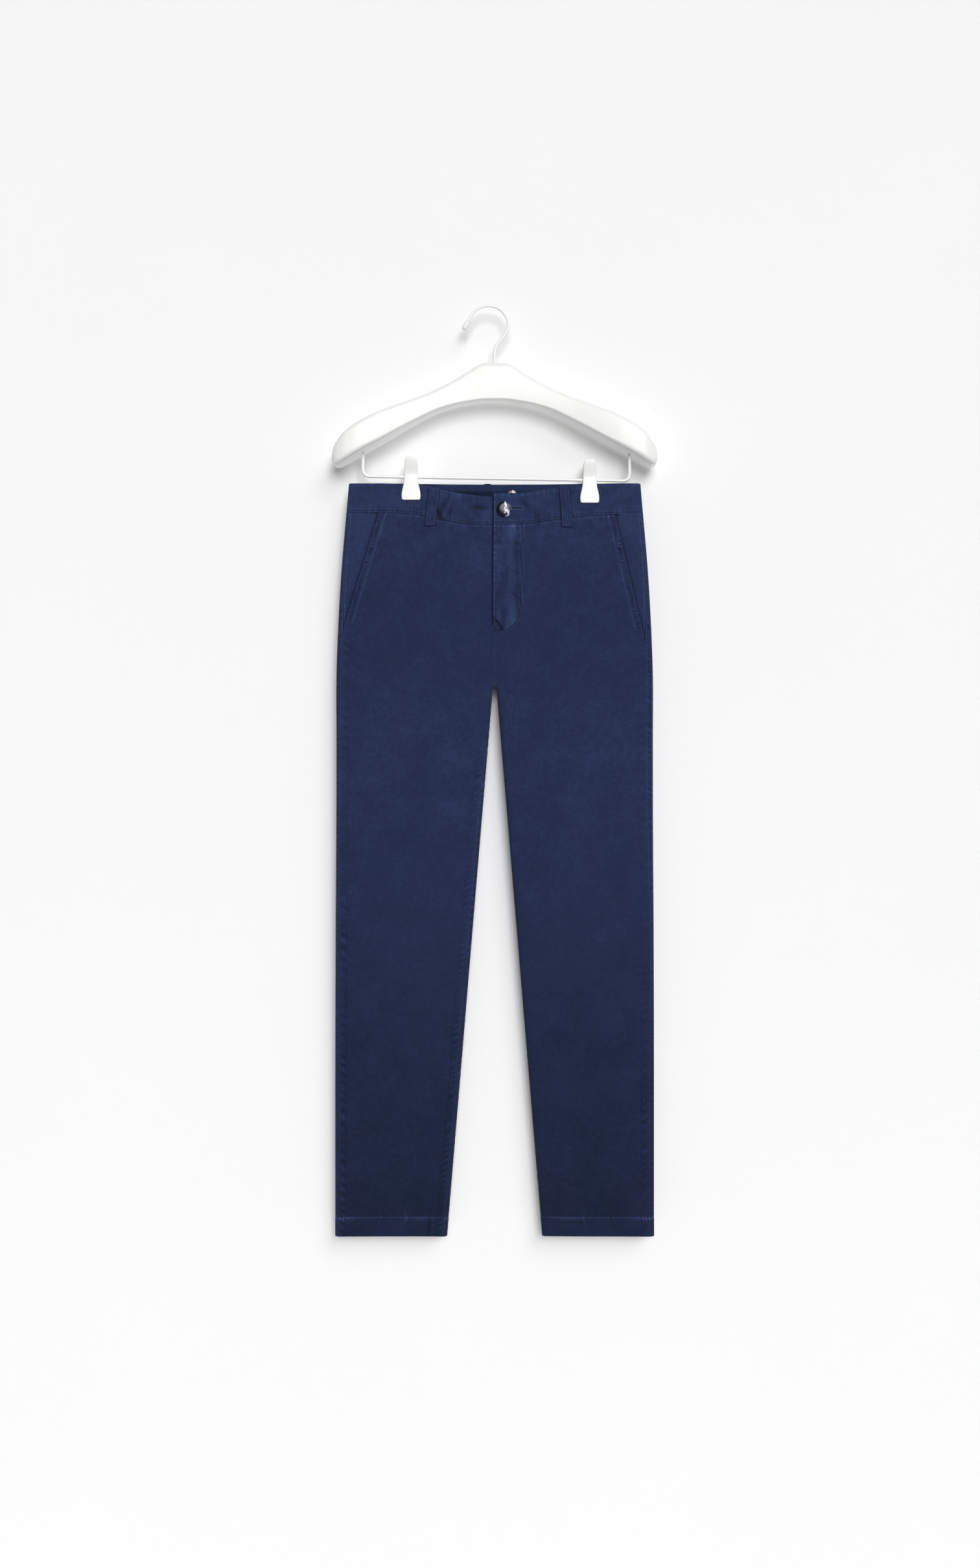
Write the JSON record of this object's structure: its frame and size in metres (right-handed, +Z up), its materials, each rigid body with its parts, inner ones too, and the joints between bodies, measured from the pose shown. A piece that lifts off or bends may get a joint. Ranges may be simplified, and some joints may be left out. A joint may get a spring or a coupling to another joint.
{
  "type": "chino trousers on a clip hanger",
  "caption": "Full-length straight chino trousers, hollow cloth walls open at waist and hems, hanging flat from the clips of a shaped hanger by its hook.",
  "frame": {"origin": "the bearing point inside the crook of the hanger's hook, where it sits on a rail or peg", "axes": "+Z up along the garment, +X towards the wearer's left, -Y out of the trousers' front"},
  "size_m": [0.4452, 0.0556, 1.2722],
  "materials": {
    "navy_twill": "garment-dyed navy cotton twill, matt with a soft sheen",
    "zip_tape": "dark navy woven zip tape, matt",
    "dark_horn": "near-black polished button",
    "white_plastic": "white satin moulded plastic",
    "white_metal": "white painted steel wire"
  },
  "bodies": {
    "root": {"front_right": "navy_twill", "front_left": "navy_twill", "back_right": "navy_twill", "back_left": "navy_twill", "pocket_facing_right": "navy_twill", "pocket_facing_left": "navy_twill", "waistband_front_right": "navy_twill", "waistband_front_left": "navy_twill", "waistband_back": "navy_twill", "zip": "zip_tape", "fly_shield": "navy_twill", "belt_loop_front_right": "navy_twill", "belt_loop_front_left": "navy_twill", "belt_loop_back_right": "navy_twill", "belt_loop_back_left": "navy_twill", "belt_loop_back_centre": "navy_twill", "button": "dark_horn", "inner_button": "dark_horn", "hanger_body": "white_plastic", "hook_tip": "white_plastic", "hanger_hook": "white_metal", "hanger_bar": "white_metal", "clip_right_front_jaw": "white_plastic", "clip_right_back_jaw": "white_plastic", "clip_right_spring": "white_metal", "clip_left_front_jaw": "white_plastic", "clip_left_back_jaw": "white_plastic", "clip_left_spring": "white_metal"}
  },
  "joints": []
}
